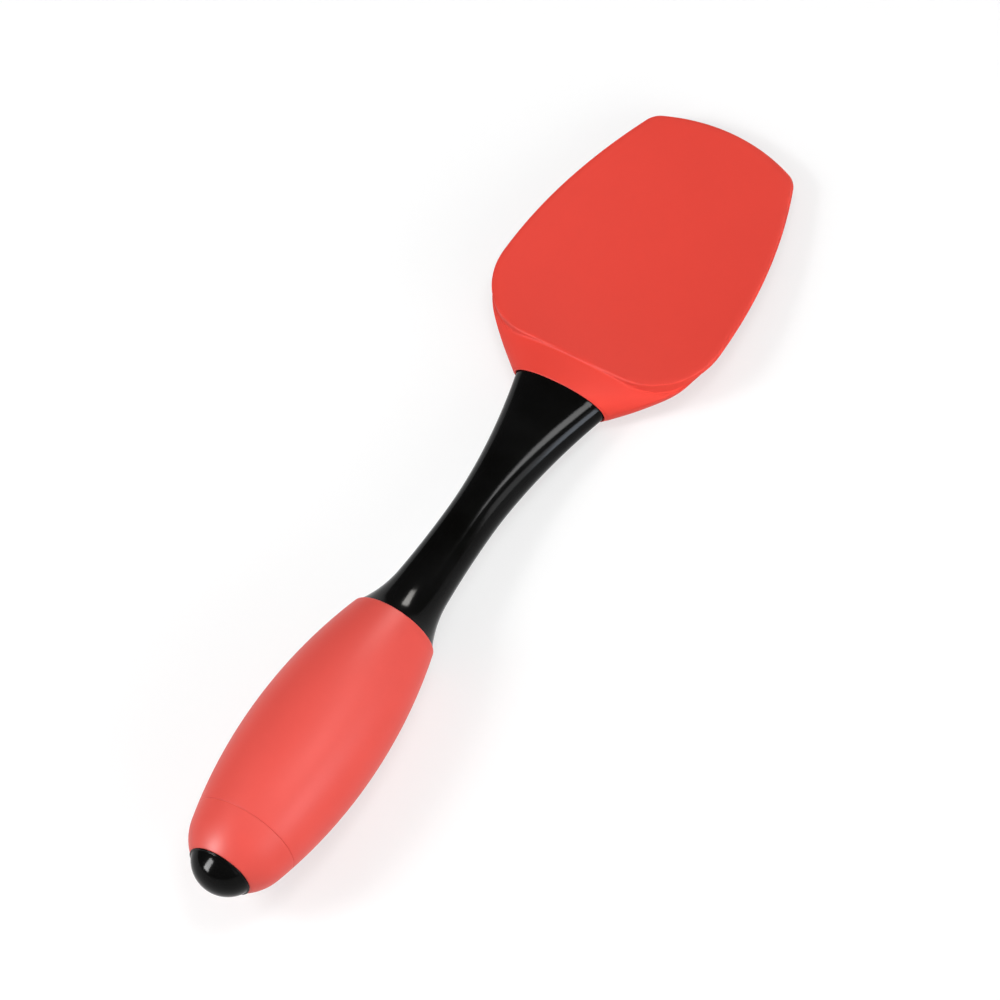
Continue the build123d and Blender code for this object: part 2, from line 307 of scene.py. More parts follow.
# %% Red silicone
silicone_colour = (0.80, 0.058, 0.039, 1)
silicone_deep_colour = (0.74, 0.049, 0.032, 1)
cloud_scale = 42
speckle_scale = 1900
grain_scale = 5200
wave_height = 0.00012
skin_height = 0.000035
rubber_ior = 1.3
bloom_roughness = 0.45
bloom_tint = (1, 0.72, 0.66, 1)


def moulded_rubber(name, colour, deep_colour, roughness, spread, gloss, bloom):
    """Matte moulded rubber: a cloudy drift of colour, uneven gloss and two sizes of grain."""
    recipe = Recipe(bpy.data.materials.new(name))
    place = recipe.place()
    cloud = recipe.remap(recipe.noise(place, cloud_scale, 3), 0.3, 0.7, 0, 1)
    speckle = recipe.noise(place, speckle_scale, 2)
    grain = recipe.noise(place, grain_scale, 2)
    drift = recipe.remap(cloud * 0.7 + speckle * 0.3, 0, 1, 0, 0.5)
    soft_waves = recipe.bump(cloud, wave_height, 0.25)
    skin = recipe.bump(speckle * 0.6 + grain * 0.4, skin_height, 0.35, soft_waves)
    smoothest, dullest = roughness - spread, roughness + spread
    inputs = {
        "Base Color": recipe.mix_colours(drift, colour, deep_colour),
        "Roughness": recipe.remap(cloud * 0.4 + speckle * 0.6, 0, 1, smoothest, dullest),
        "IOR": rubber_ior,
        "Specular IOR Level": gloss,
        "Sheen Weight": bloom,
        "Sheen Roughness": bloom_roughness,
        "Sheen Tint": bloom_tint,
        "Normal": skin,
    }
    return recipe.finish(recipe.node("ShaderNodeBsdfPrincipled", None, inputs))


red_silicone = moulded_rubber(
    "red_silicone_finish",
    silicone_colour,
    silicone_deep_colour,
    roughness=0.5,
    spread=0.05,
    gloss=0.3,
    bloom=0.02,
)
print("finish", red_silicone.name)

# %% [markdown]
# The grip's skin is another rubber, moulded over the hard barrel. It is a touch pinker and more
# satin than the silicone, because such skins are coated to feel soft. The same recipe makes it.

# %% Soft red grip
grip_colour = (0.76, 0.088, 0.070, 1)
grip_deep_colour = (0.70, 0.074, 0.058, 1)
red_soft_grip = moulded_rubber(
    "red_soft_grip_finish",
    grip_colour,
    grip_deep_colour,
    roughness=0.44,
    spread=0.05,
    gloss=0.32,
    bloom=0.04,
)
print("finish", red_soft_grip.name)

# %% [markdown]
# The neck and the end cap are black nylon from a polished mould. Polished plastic isn't a perfect
# mirror: the melt shrinks a little as it cools, which leaves long faint waves, and handling leaves
# patches where the gloss is a little duller and the black a little paler.

# %% Black nylon
nylon_colour = (0.002, 0.002, 0.0018, 1)
nylon_worn_colour = (0.0045, 0.0045, 0.0045, 1)
nylon_ior = 1.15
polished = 0.09
handled = 0.16
wear_scale = 60
peel_scale = 420
pore_scale = 3000
peel_height = 0.00003
pore_height = 0.000006

nylon_recipe = Recipe(bpy.data.materials.new("black_nylon_finish"))
place = nylon_recipe.place()
wear = nylon_recipe.remap(nylon_recipe.noise(place, wear_scale, 4), 0.35, 0.7, 0, 1)
peel = nylon_recipe.noise(place, peel_scale, 2)
pores = nylon_recipe.noise(place, pore_scale, 2)
waves = nylon_recipe.bump(peel, peel_height, 0.25)
nylon_inputs = {
    "Base Color": nylon_recipe.mix_colours(wear, nylon_colour, nylon_worn_colour),
    "Roughness": nylon_recipe.remap(wear * 0.7 + pores * 0.3, 0, 1, polished, handled),
    "IOR": nylon_ior,
    "Normal": nylon_recipe.bump(pores, pore_height, 0.2, waves),
}
black_nylon = nylon_recipe.finish(nylon_recipe.node("ShaderNodeBsdfPrincipled", None, nylon_inputs))
print("finish", black_nylon.name)

# %% [markdown]
# The two half barrels inside the grip are plain grey structural plastic that nobody sees. Their
# CAD solids already have the right shape, so they stay and only get a finish: dull, with the flow
# marks of recycled plastic.

# %% Grey core plastic on the two CAD half barrels
core_colour = (0.30, 0.30, 0.29, 1)
core_pale_colour = (0.39, 0.39, 0.38, 1)
flow_scale = 90
core_grain_scale = 2400
core_grain_height = 0.00003

core_recipe = Recipe(bpy.data.materials.new("core_plastic_finish"))
place = core_recipe.place()
flow = core_recipe.noise(place, flow_scale, 5, 0.6)
core_grain = core_recipe.noise(place, core_grain_scale, 2)
core_inputs = {
    "Base Color": core_recipe.mix_colours(flow, core_colour, core_pale_colour),
    "Roughness": core_recipe.remap(core_grain, 0, 1, 0.55, 0.7),
    "Normal": core_recipe.bump(core_grain, core_grain_height, 0.3),
}
core_plastic = core_recipe.finish(core_recipe.node("ShaderNodeBsdfPrincipled", None, core_inputs))
for node_name in ("grip_core_front", "grip_core_back"):
    core = frame["nodes"][node_name]
    core.data.materials.clear()
    core.data.materials.append(core_plastic)
print("finish", core_plastic.name)

# %% [markdown]
# ## Finishing a piece
# Every piece ends the same way. Doubled points are merged, the faces are turned outwards, the
# matrix takes it to the table, and it is smoothed except over sharp steps. Then it hangs on the
# body it rides on, and the CAD solid that it stands for is hidden.

# %% Finish a piece
merge_distance = 0.0005
sharp_angle = radians(38)


def finish_piece(bm, name, node, body, material):
    """Makes the object, hangs it on its body and hides the CAD solid it stands for."""
    bmesh.ops.remove_doubles(bm, verts=bm.verts, dist=merge_distance)
    bmesh.ops.recalc_face_normals(bm, faces=bm.faces)
    bm.transform(to_table)
    open_edges = sum(len(edge.link_faces) != 2 for edge in bm.edges)
    mesh = bpy.data.meshes.new(name)
    bm.to_mesh(mesh)
    bm.free()
    mesh.shade_smooth()
    mesh.set_sharp_from_angle(angle=sharp_angle)
    mesh.materials.append(material)
    piece = bpy.data.objects.new(name, mesh)
    bpy.context.scene.collection.objects.link(piece)
    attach(piece, body)
    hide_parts(node)
    print(f"{name}: {len(mesh.polygons)} faces, {open_edges} edges not closed")


# %% [markdown]
# ## Turned pieces
# The grip's skin, its end ring and the end cap are bodies of revolution. Half of the cross-section
# is drawn once, with arcs made by spinning a single point about the arc's centre, its corners are
# rounded, and a full spin about the handle's line makes the piece.

# %% Draw and spin a cross-section
corner_tolerance = 0.01


def only_points(geometry):
    return [part for part in geometry if isinstance(part, bmesh.types.BMVert)]


def swing(bm, point, centre, axis, turn, steps, step_vector=(0, 0, 0)):
    """Spins a single point round a centre, which draws an arc, and gives the arc's last point."""
    spun = bmesh.ops.spin(
        bm,
        geom=[point],
        cent=centre,
        axis=axis,
        dvec=step_vector,
        angle=turn,
        space=Matrix.Identity(4),
        steps=steps,
    )
    return only_points(spun["geom_last"])[0]


def arc_through(start, heading, end):
    """Centre, radius and chord of the arc that leaves a point in a direction and has this end."""
    chord = Vector((end[0] - start[0], end[1] - start[1]))
    square = chord - heading * chord.dot(heading)
    radius = chord.length_squared / (2 * square.length)
    return Vector(start) + square.normalized() * radius, radius, chord


def tangent_arc(bm, start, direction, end, steps):
    """Draws an arc in the plane x = 0 from a point, left in a direction, to an end."""
    heading = Vector(direction).normalized()
    centre, _, chord = arc_through((start.co.y, start.co.z), heading, end)
    sign = 1 if heading.x * chord.y - heading.y * chord.x > 0 else -1
    turn = sign * 2 * heading.angle(chord)
    return swing(bm, start, (0, centre.x, centre.y), (1, 0, 0), turn, steps)


def draw_lines(bm, start, points, end=None):
    """Draws straight lines from a point through others, and on to an end already there."""
    for station, radius in points:
        corner = bm.verts.new((0, station, radius))
        bm.edges.new((start, corner))
        start = corner
    if end is not None:
        bm.edges.new((start, end))


def round_corners(bm, places, width, segments=4):
    """Rounds the corners of a cross-section that lie at these places."""
    corners = [
        vert
        for vert in bm.verts
        if any(abs(vert.co.y - s) + abs(vert.co.z - r) < corner_tolerance for s, r in places)
    ]
    bmesh.ops.bevel(
        bm,
        geom=corners,
        offset=width,
        offset_type="OFFSET",
        affect="VERTICES",
        segments=segments,
        profile=0.5,
        material=-1,
        clamp_overlap=True,
    )


def spin_round(bm, steps):
    """Spins the cross-section fully about the handle's line."""
    bmesh.ops.spin(
        bm,
        geom=bm.verts[:] + bm.edges[:],
        cent=(0, 0, 0),
        axis=(0, 1, 0),
        dvec=(0, 0, 0),
        angle=2 * pi,
        space=Matrix.Identity(4),
        steps=steps,
        use_merge=True,
    )


print("profile tools ready")

# %% [markdown]
# ### The grip's skin
# A fat barrel with its belly halfway along, two millimetres thick. Its front edge hugs the neck's
# collar and its back edge stops at the fine seam that the photograph shows near the butt. A tiny
# round on each edge catches the light the way moulded rubber does.

# %% Grip skin
belly_station = -43.5
belly_radius = 18.55
front_radius = 12.1
front_station = -1.7
seam_station = -74.4
back_station = -75.8
back_radius = 14.95
skin_thickness = 2.0
collar_station = -3.0
collar_hole_radius = 11.55
front_edge_round = 0.42
seam_round = 0.12
front_steps = 30
arc_steps = 24
turn_steps = 160


def arc_radius(run, rise):
    """Radius of the arc that leaves the belly level and has drawn in by rise after run."""
    return (run**2 + rise**2) / (2 * rise)


front_arc = arc_radius(-belly_station, belly_radius - front_radius)
back_arc = arc_radius(belly_station - back_station, belly_radius - back_radius)


def on_barrel(station, depth=0):
    """Station and radius of a point on the barrel, at a depth under its skin."""
    arc = front_arc if station > belly_station else back_arc
    drawn_in = sqrt((arc - depth) ** 2 - (station - belly_station) ** 2)
    return station, belly_radius - arc + drawn_in


sleeve_bm = bmesh.new()
outer_belly = sleeve_bm.verts.new((0, belly_station, belly_radius))
inner_belly = sleeve_bm.verts.new((0, belly_station, belly_radius - skin_thickness))
front_corner = on_barrel(front_station)
seam_corner = on_barrel(seam_station)
inner_front_corner = on_barrel(collar_station, skin_thickness)
inner_seam_corner = on_barrel(seam_station, skin_thickness)
front_edge = tangent_arc(sleeve_bm, outer_belly, (1, 0), front_corner, front_steps)
seam_edge = tangent_arc(sleeve_bm, outer_belly, (-1, 0), seam_corner, arc_steps)
inner_front = tangent_arc(sleeve_bm, inner_belly, (1, 0), inner_front_corner, arc_steps)
inner_seam = tangent_arc(sleeve_bm, inner_belly, (-1, 0), inner_seam_corner, arc_steps)
collar_hole = [(front_station, collar_hole_radius), (collar_station, collar_hole_radius)]
draw_lines(sleeve_bm, front_edge, collar_hole, inner_front)
draw_lines(sleeve_bm, seam_edge, [], inner_seam)
round_corners(sleeve_bm, [front_corner], front_edge_round)
round_corners(sleeve_bm, [seam_corner], seam_round)
spin_round(sleeve_bm, turn_steps)
finish_piece(
    sleeve_bm, "soft_sleeve", "grip_sleeve", "handle", red_soft_grip
)

# %% [markdown]
# ### The ring behind the seam
# The butt of the grip is a separate ring of the same rubber. It carries on the barrel's curve,
# then rolls in towards the black dome. A thin skirt on it reaches over the end of the hard barrel.

# %% End ring of the grip
seam_gap = 0.05
skirt_station = -76.0
butt_station = -87.0
butt_curve_station = -79.1
butt_face_radius = 9.4
butt_round = 0.3
stem_hole_radius = 6.05
spigot_radius = 9.0
spigot_station = -71.8
carry_on_steps = 6
roll_in_steps = 16


def drawing_in(station):
    """Direction of the barrel's curve at a station behind its belly, towards the butt."""
    run = belly_station - station
    return -1, -run / sqrt(back_arc**2 - run**2)


ring_start = seam_station - seam_gap
ring_corner = on_barrel(ring_start)
curve_corner = on_barrel(butt_curve_station)
butt_corner = (butt_station, butt_face_radius)

ring_bm = bmesh.new()
ring_edge = ring_bm.verts.new((0, *ring_corner))
curve_start = tangent_arc(
    ring_bm, ring_edge, drawing_in(ring_start), curve_corner, carry_on_steps
)
butt_edge = tangent_arc(
    ring_bm, curve_start, drawing_in(butt_curve_station), butt_corner, roll_in_steps
)
ring_inside = [
    (butt_station, stem_hole_radius),
    (spigot_station, stem_hole_radius),
    (spigot_station, spigot_radius),
    (skirt_station, spigot_radius),
    on_barrel(skirt_station, skin_thickness),
    on_barrel(ring_start, skin_thickness),
]
draw_lines(ring_bm, butt_edge, ring_inside, ring_edge)
round_corners(ring_bm, [ring_corner], seam_round)
round_corners(ring_bm, [butt_corner], butt_round)
spin_round(ring_bm, turn_steps)
finish_piece(
    ring_bm, "grip_end_ring", "grip_end_collar", "handle", red_soft_grip
)

# %% [markdown]
# ### The end cap
# A black dome on a thin flange, with a pin behind it that presses into the stem. The flange stands
# only a little proud of the dome, so it shows as a fine lip at the dome's foot.

# %% End cap
dome_radius = 9.0
dome_height = 5.7
dome_steps = 28
dome_foot_round = 0.12
flange_radius = 9.45
flange_thickness = 0.4
flange_round = 0.15
pin_radius = 3.0
pin_length = 14.0
pin_round = 0.6

flange_station = butt_station - flange_thickness
pin_station = butt_station + pin_length
dome_corner = (flange_station, dome_radius)
flange_corners = [(flange_station, flange_radius), (butt_station, flange_radius)]
pin_corner = (pin_station, pin_radius)

cap_bm = bmesh.new()
apex = cap_bm.verts.new((0, flange_station - dome_height, 0))
dome_foot = tangent_arc(cap_bm, apex, (0, 1), dome_corner, dome_steps)
cap_outline = [*flange_corners, (butt_station, pin_radius), pin_corner, (pin_station, 0)]
draw_lines(cap_bm, dome_foot, cap_outline)
round_corners(cap_bm, flange_corners, flange_round)
round_corners(cap_bm, [dome_corner], dome_foot_round)
round_corners(cap_bm, [pin_corner], pin_round)
spin_round(cap_bm, turn_steps)
finish_piece(cap_bm, "dome_cap", "end_cap", "handle", black_nylon)

# %% [markdown]
# ## The neck
# The neck changes from a round waist to a wide, flat-topped end, so it can't be turned. It is a
# stack of closed rings instead: one circle is extruded again and again, and each new ring is
# reshaped. A superellipse gives every shape needed: power 2 is an ellipse, a little more is
# flat-topped, and 8 is nearly a rectangle, for the tongue inside the head.


# %% Rings of any shape
def superellipse(angle, half_width, half_height, power):
    """Point of a superellipse at an angle from its right end."""
    across, up = cos(angle), sin(angle)
    return (
        half_width * abs(across) ** (2 / power) * (1 if across > 0 else -1),
        half_height * abs(up) ** (2 / power) * (1 if up > 0 else -1),
    )


def next_ring(bm, ring_edges, place):
    """Extrudes a closed ring of edges and puts each new point where place(point) says."""
    made = bmesh.ops.extrude_edge_only(bm, edges=ring_edges)["geom"]
    for vert in only_points(made):
        vert.co = place(vert)
    return [part for part in made if isinstance(part, bmesh.types.BMEdge) and part.is_boundary]


print("ring tools ready")

# %% Sizes of the neck
mouth_station = 80.0
neck_end_half_width = 14.0
neck_end_half_height = 6.9
neck_end_power = 2.15
neck_end_round = 0.4
seat_depth = 2.0
waist_station = 36.3
waist_radius = 6.95
growth_power = 1.8
foot_station = 12.5
foot_radius = 7.9
flare_edge_radius = 12.1
flare_edge_round = 0.1
flare_gap = 0.05
collar_radius = 11.5
stem_radius = 6.0
stem_end_station = -85.5
pin_hole_radius = 3.05
pin_hole_station = -71.5
tongue_length = 33.0
tongue_power = 8.0
root_half_width, root_half_height, root_middle = 10.0, 2.5, 0.9
root_fillet = 0.4
root_fillet_length = 0.6
tip_half_width, tip_half_height, tip_middle = 8.0, 1.8, 1.6
neck_end_station = mouth_station + seat_depth
tongue_end_station = neck_end_station + tongue_length


def flare_radius(station):
    """Radius of the neck from collar to waist: a long arc that runs into a tighter one."""
    waist_arc = arc_radius(waist_station - foot_station, foot_radius - waist_radius)
    if station > foot_station:
        return waist_radius + waist_arc - sqrt(waist_arc**2 - (waist_station - station) ** 2)
    heading = Vector((-1, (waist_station - foot_station) / waist_arc)).normalized()
    foot, flare_edge = (foot_station, foot_radius), (front_station, flare_edge_radius)
    centre, radius, _ = arc_through(foot, heading, flare_edge)
    return centre.y - sqrt(radius**2 - (station - centre.x) ** 2)


def round_ring(station, radius):
    """Station, half sizes, middle height and power of a round ring."""
    return station, radius, radius, 0, 2


def neck_ring(station):
    """The same for the neck's ring at a station."""
    if station < waist_station:
        return round_ring(station, flare_radius(station))
    growth = ((station - waist_station) / (mouth_station - waist_station)) ** growth_power
    half_width = waist_radius + (neck_end_half_width - waist_radius) * growth
    half_height = waist_radius + (neck_end_half_height - waist_radius) * growth
    return station, half_width, half_height, 0, 2 + (neck_end_power - 2) * growth


def end_ring(forward, inward):
    """The same for a ring near the neck's end, this far before it and inside its outline."""
    half_width = neck_end_half_width - inward
    half_height = neck_end_half_height - inward
    return neck_end_station - forward, half_width, half_height, 0, neck_end_power


def tip_ring(forward, narrower, thinner):
    """The same for a ring near the tongue's tip."""
    half_width = tip_half_width - narrower
    half_height = tip_half_height - thinner
    return tongue_end_station - forward, half_width, half_height, tip_middle, tongue_power


print(f"neck {2 * waist_radius} mm thick at its waist")

# %% [markdown]
# The rings run from the tongue's tip to the hole in the stem's end: the tongue with its rounded
# tip, the flat end face, the body down to the waist, the trumpet flare, the collar that sits in
# the grip, and the long stem through it.

# %% Neck
neck_segments = 144
body_rings = 34
flare_rings = 26
body_step = (mouth_station - waist_station) / body_rings
flare_step = (waist_station - front_station) / flare_rings
flare_end = front_station + flare_gap
fillet_half_width = root_half_width + root_fillet
fillet_half_height = root_half_height + root_fillet
fillet_station = neck_end_station + root_fillet_length
neck_rings = [
    tip_ring(0, 1.1, 1.0),
    tip_ring(0.25, 0.4, 0.35),
    tip_ring(0.9, 0, 0),
    (fillet_station, root_half_width, root_half_height, root_middle, tongue_power),
    (neck_end_station, fillet_half_width, fillet_half_height, root_middle, tongue_power),
    end_ring(0, neck_end_round),
    end_ring(0.12, 0.12),
    end_ring(neck_end_round, 0),
    *(neck_ring(mouth_station - body_step * number) for number in range(body_rings + 1)),
    *(neck_ring(waist_station - flare_step * number) for number in range(1, flare_rings)),
    round_ring(flare_end + flare_edge_round, flare_edge_radius),
    round_ring(flare_end, flare_edge_radius - flare_edge_round),
    round_ring(flare_end, collar_radius),
    round_ring(collar_station, collar_radius),
    round_ring(collar_station, stem_radius),
    round_ring(stem_end_station, stem_radius),
    round_ring(stem_end_station, pin_hole_radius),
    round_ring(pin_hole_station, pin_hole_radius),
]

neck_bm = bmesh.new()
turn_layer = neck_bm.verts.layers.float.new("turn")
bmesh.ops.create_circle(neck_bm, cap_ends=False, segments=neck_segments, radius=1)
for vert in neck_bm.verts:
    vert[turn_layer] = atan2(vert.co.y, vert.co.x)


def neck_point(vert, station, half_width, half_height, middle, power):
    """Point of a neck ring, at the angle that a vertex had on the circle."""
    across, up = superellipse(vert[turn_layer], half_width, half_height, power)
    return Vector((across, station, middle + up))


for vert in neck_bm.verts:
    vert.co = neck_point(vert, *neck_rings[0])
ring_edges = neck_bm.edges[:]
bmesh.ops.edgeloop_fill(neck_bm, edges=ring_edges)
for ring in neck_rings[1:]:
    ring_edges = next_ring(neck_bm, ring_edges, lambda vert: neck_point(vert, *ring))
bmesh.ops.edgeloop_fill(neck_bm, edges=ring_edges)
finish_piece(neck_bm, "black_neck", "neck", "handle", black_nylon)

# %% [markdown]
# ## The head
# The head is one silicone moulding: a thin dished blade, a crisp rim, and under them a hull that
# gathers into a soft lip round the neck. It could be put together from a blade and a hull with a
# boolean, but that leaves a hard crease where they meet. Here one skin makes it all. It starts as
# the blade's outline. Extruded inwards, it makes the dished face. Extruded outwards and down, it
# rolls over the rim, runs back under the blade to the mouth, and turns in there to make the recess
# and the pocket for the tongue.

# %% Sizes of the head
blade_length = 79.7
blade_half_width = 35.1
side_arc = 130.0
tip_arc = 56.0
lower_corner = 19.5
tip_corner = 6.0
lower_edge = 88.5
rim_height = 8.3
tip_height = 6.9
dish_depth = 2.0
deepest_share = 0.35
blade_thickness = 1.5
lower_edge_thickness = 3.0
thinning_share = 0.32
hull_length = 70.0
hull_inset = 0.8
hull_cover = 0.35
lip_wall = 0.5
clearance = 0.15
shoulder_height = 7.95
mouth_half_width = neck_end_half_width + clearance + lip_wall
mouth_half_height = neck_end_half_height + clearance + lip_wall
blade_tip = lower_edge + blade_length
widest = lower_edge + lower_corner
hull_end = mouth_station + hull_length


def glide(value, places, sizes):
    """Size at a value, on a smooth curve through the sizes given at some places."""
    slopes = [(b - a) / (q - p) for p, q, a, b in zip(places, places[1:], sizes, sizes[1:])]
    tangents = [slopes[0], *((a + b) / 2 for a, b in zip(slopes, slopes[1:])), slopes[-1]]
    for number, (near, far) in enumerate(zip(places, places[1:])):
        if value <= far:
            break
    run = far - near
    share = min(max((value - near) / run, 0), 1)
    rise = sizes[number + 1] - sizes[number]
    bend = 3 * share**2 - 2 * share**3
    start = tangents[number] * run * share * (1 - share) ** 2
    end = tangents[number + 1] * run * share**2 * (1 - share)
    return sizes[number] + rise * bend + start - end


def face_height(station, across):
    """Height of the dished face."""
    share = (station - lower_edge) / blade_length
    side = rim_height + (tip_height - rim_height) * share
    run = deepest_share if share < deepest_share else 1 - deepest_share
    depth = dish_depth * max(1 - ((share - deepest_share) / run) ** 2, 0)
    return side - depth * (1 - (across / blade_half_width) ** 2)


def underside_height(station, across):
    """Height of the blade's underside, which is thicker at the lower edge."""
    share = (station - lower_edge) / blade_length
    thicker = max(1 - share / thinning_share, 0) ** 2
    thickness = blade_thickness + (lower_edge_thickness - blade_thickness) * min(thicker, 1)
    return face_height(station, across) - thickness


def soft_lower(first, second, blend):
    """The lower of two heights, with a fillet where they cross."""
    overlap = max(blend - abs(first - second), 0) / blend
    return min(first, second) - overlap**2 * blend / 4


print(f"blade {2 * blade_half_width} mm wide and {blade_length} mm long")

# %% [markdown]
# ### The outline
# Half of the outline is a straight lower edge, a big round corner, a long bowed side, a small
# corner and the bowed tip. A single point is spun round the centre of each arc in turn, so every
# arc runs smoothly into the next. The straight edge is a spin that doesn't turn: it only moves.

# %% Outline of the blade
straight_steps = 12
lower_corner_steps = 32
side_steps = 32
tip_corner_steps = 10
tip_steps = 14

side_centre = Vector((blade_half_width - side_arc, widest, 0))
lower_corner_centre = Vector((blade_half_width - lower_corner, widest, 0))
tip_centre = Vector((0, blade_tip - tip_arc, 0))
between_centres = tip_centre - side_centre
side_reach = side_arc - tip_corner
tip_reach = tip_arc - tip_corner
reach_difference = side_reach**2 - tip_reach**2
along_line = (reach_difference + between_centres.length_squared) / (2 * between_centres.length)
off_line = sqrt(side_reach**2 - along_line**2)
line_direction = between_centres.normalized()
tip_corner_centre = side_centre + line_direction * along_line
tip_corner_centre += Vector((-line_direction.y, line_direction.x, 0)) * off_line


def bearing(centre, point):
    """Angle at which a point is seen from a centre."""
    return atan2(point.y - centre.y, point.x - centre.x)


side_turn = bearing(side_centre, tip_corner_centre)
tip_corner_turn = bearing(tip_centre, tip_corner_centre) - side_turn
tip_turn = pi / 2 - tip_corner_turn - side_turn
straight_step = (lower_corner_centre.x / straight_steps, 0, 0)

head_bm = bmesh.new()
line_layer = head_bm.verts.layers.int.new("line")
side_layer = head_bm.verts.layers.int.new("side")
last = head_bm.verts.new((0, lower_edge, 0))
last = swing(head_bm, last, last.co, (0, 0, 1), 0, straight_steps, straight_step)
for centre, turn, steps in (
    (lower_corner_centre, pi / 2, lower_corner_steps),
    (side_centre, side_turn, side_steps),
    (tip_corner_centre, tip_corner_turn, tip_corner_steps),
    (tip_centre, tip_turn, tip_steps),
):
    last = swing(head_bm, last, centre, (0, 0, 1), turn, steps)
outline = [vert.co.copy() for vert in head_bm.verts]
for number, vert in enumerate(head_bm.verts):
    vert[line_layer] = number
last_number = len(outline) - 1
print("half outline of", len(outline), "points, ends at", tuple(round(x, 2) for x in outline[-1]))

# %% [markdown]
# ### One line for every point of the outline
# The skin is a bundle of lines that all start at the mouth. Lines from the top of the mouth fan
# out over the shoulder to the lower edge and its corners, and lines from its underside fan out
# under the blade to the sides and the tip. Each line knows its point of the outline, the way out
# from it, and where round the mouth it starts. A sweep says how far round the hull a point lies:
# 0 on the middle line and 1 at the side.

# %% Lines of the skin
side_split_station = 104.0
shoulder_end_station = 92.0
edge_round = 0.55
crest_round = 0.45
valley_round = 0.4
valley_reach = valley_round + 0.15
tuck_under = 0.3
flare_places = (0, 0.25, 0.5, 0.75, 1)
flare_widths = (0, 0.435, 0.785, 0.955, 1)
flare_sides = (0, 0.28, 0.57, 0.9, 1)
hull_power_run = 20.0
keel_flatness = 0.6
halvings = 40


def hull_half_width(station):
    """Half width of the hull at a station."""
    flare = min((station - mouth_station) / (widest - mouth_station), 1)
    reach = sqrt(side_arc**2 - (max(station, widest) - widest) ** 2)
    full = blade_half_width - side_arc + reach - hull_inset
    return mouth_half_width + (full - mouth_half_width) * glide(flare, flare_places, flare_widths)


def keel_height(station):
    """Height of the hull's lowest line, which sinks into the blade where the hull ends."""
    share = min((station - mouth_station) / hull_length, 1)
    end_height = face_height(hull_end, 0) - blade_thickness + edge_round / 2
    return (end_height + mouth_half_height) * share**2 * (3 - 2 * share) - mouth_half_height


def hull_section(station, sweep, upper):
    """Distance from the middle, and height, of a point of the hull's skin."""
    from_mouth = station - mouth_station
    flare = min(from_mouth / (widest - mouth_station), 1)
    turned_up = glide(flare, flare_places, flare_sides)
    half_width = hull_half_width(station)
    if station < lower_edge:
        climb = from_mouth / (lower_edge - mouth_station)
        middle = mouth_half_height + (shoulder_height - mouth_half_height) * climb
        side = shoulder_height * turned_up
    else:
        middle = face_height(station, 0) - hull_cover
        side = (face_height(station, half_width) - hull_cover) * turned_up
    if upper:
        flat = turned_up
    else:
        flat = keel_flatness * min(from_mouth / hull_length, 1)
        middle = keel_height(station)
    power = neck_end_power - (neck_end_power - 2) * min(from_mouth / hull_power_run, 1)
    round_across, round_up = superellipse(pi / 2 * (1 - sweep), 1, 1, power)
    across = half_width * (round_across * (1 - flat) + sweep * flat)
    return across, side + (middle - side) * (round_up * (1 - flat) + (1 - sweep**2) * flat)


def sweep_to(station, across, upper):
    """The sweep at which the hull's skin reaches a distance from the middle."""
    low, high = 0, 1
    for _ in range(halvings):
        sweep = (low + high) / 2
        if hull_section(station, sweep, upper)[0] < across:
            low = sweep
        else:
            high = sweep
    return (low + high) / 2


def ease(value, start, end):
    """0 before the start, 1 after the end, and a smooth rise between them."""
    share = min(max((value - start) / (end - start), 0), 1)
    return share**2 * (3 - 2 * share)


split = min(range(len(outline)), key=lambda number: abs(outline[number].y - side_split_station))
lines = []
for number, point in enumerate(outline):
    before = outline[max(number - 1, 0)]
    after = outline[min(number + 1, last_number)]
    outward = Vector((after.y - before.y, before.x - after.x, 0)).normalized()
    if number in (0, last_number):
        outward = Vector((0, -1 if number == 0 else 1, 0))
    upper = number <= split
    free = ease(point.y, shoulder_end_station, side_split_station)
    if upper:
        start_sweep = number / split
    else:
        start_sweep = 1 - (number - split) / (last_number - split)
    rounding = crest_round + (edge_round - crest_round) * free
    overhang = valley_reach - (valley_reach + rounding + tuck_under) * free
    end = point + outward * overhang
    lines.append({
        "point": point,
        "outward": outward,
        "upper": upper,
        "free": free,
        "rounding": rounding,
        "end": end,
        "start_sweep": start_sweep,
        "end_sweep": sweep_to(end.y, end.x, upper),
    })
print(len(lines), "lines on each side, the first", split, "of them over the shoulder")

# %% [markdown]
# ### From the outline to a closed skin
# The mirrored outline is the first ring. Its rounded crest and the dished face come first: rings
# that shrink onto a short line in the middle of the blade, each point at the height that the dish
# gives there.

# %% Rim and dished face
face_rings = 22
spine_start = 112.0
spine_end = 146.0
crest_angles = (90, 67.5, 45, 22.5, 0)

bmesh.ops.mirror(
    head_bm,
    geom=head_bm.verts[:] + head_bm.edges[:],
    matrix=Matrix.Identity(4),
    merge_dist=merge_distance,
    axis="X",
)
for vert in head_bm.verts:
    vert[side_layer] = -1 if vert.co.x < 0 else 1


def offset_point(vert, offset):
    """Point of the plan that lies outside the outline by an offset, on a vertex's line."""
    line = lines[vert[line_layer]]
    spot = line["point"] + line["outward"] * offset
    return Vector((spot.x * vert[side_layer], spot.y, 0))


def crest_point(vert, angle):
    """Point on the rounded crest: angle 0 on the face and 90 degrees on the wall."""
    rounding = lines[vert[line_layer]]["rounding"]
    spot = offset_point(vert, rounding * (sin(angle) - 1))
    inner = offset_point(vert, -rounding)
    spot.z = face_height(inner.y, inner.x) - rounding * (1 - cos(angle))
    return spot


def face_point(vert, share):
    """Point on the dished face, from the crest at 0 to the middle line at 1."""
    inner = offset_point(vert, -lines[vert[line_layer]]["rounding"])
    middle = Vector((0, min(max(inner.y, spine_start), spine_end), 0))
    spot = inner.lerp(middle, share)
    spot.z = face_height(spot.y, spot.x)
    return spot


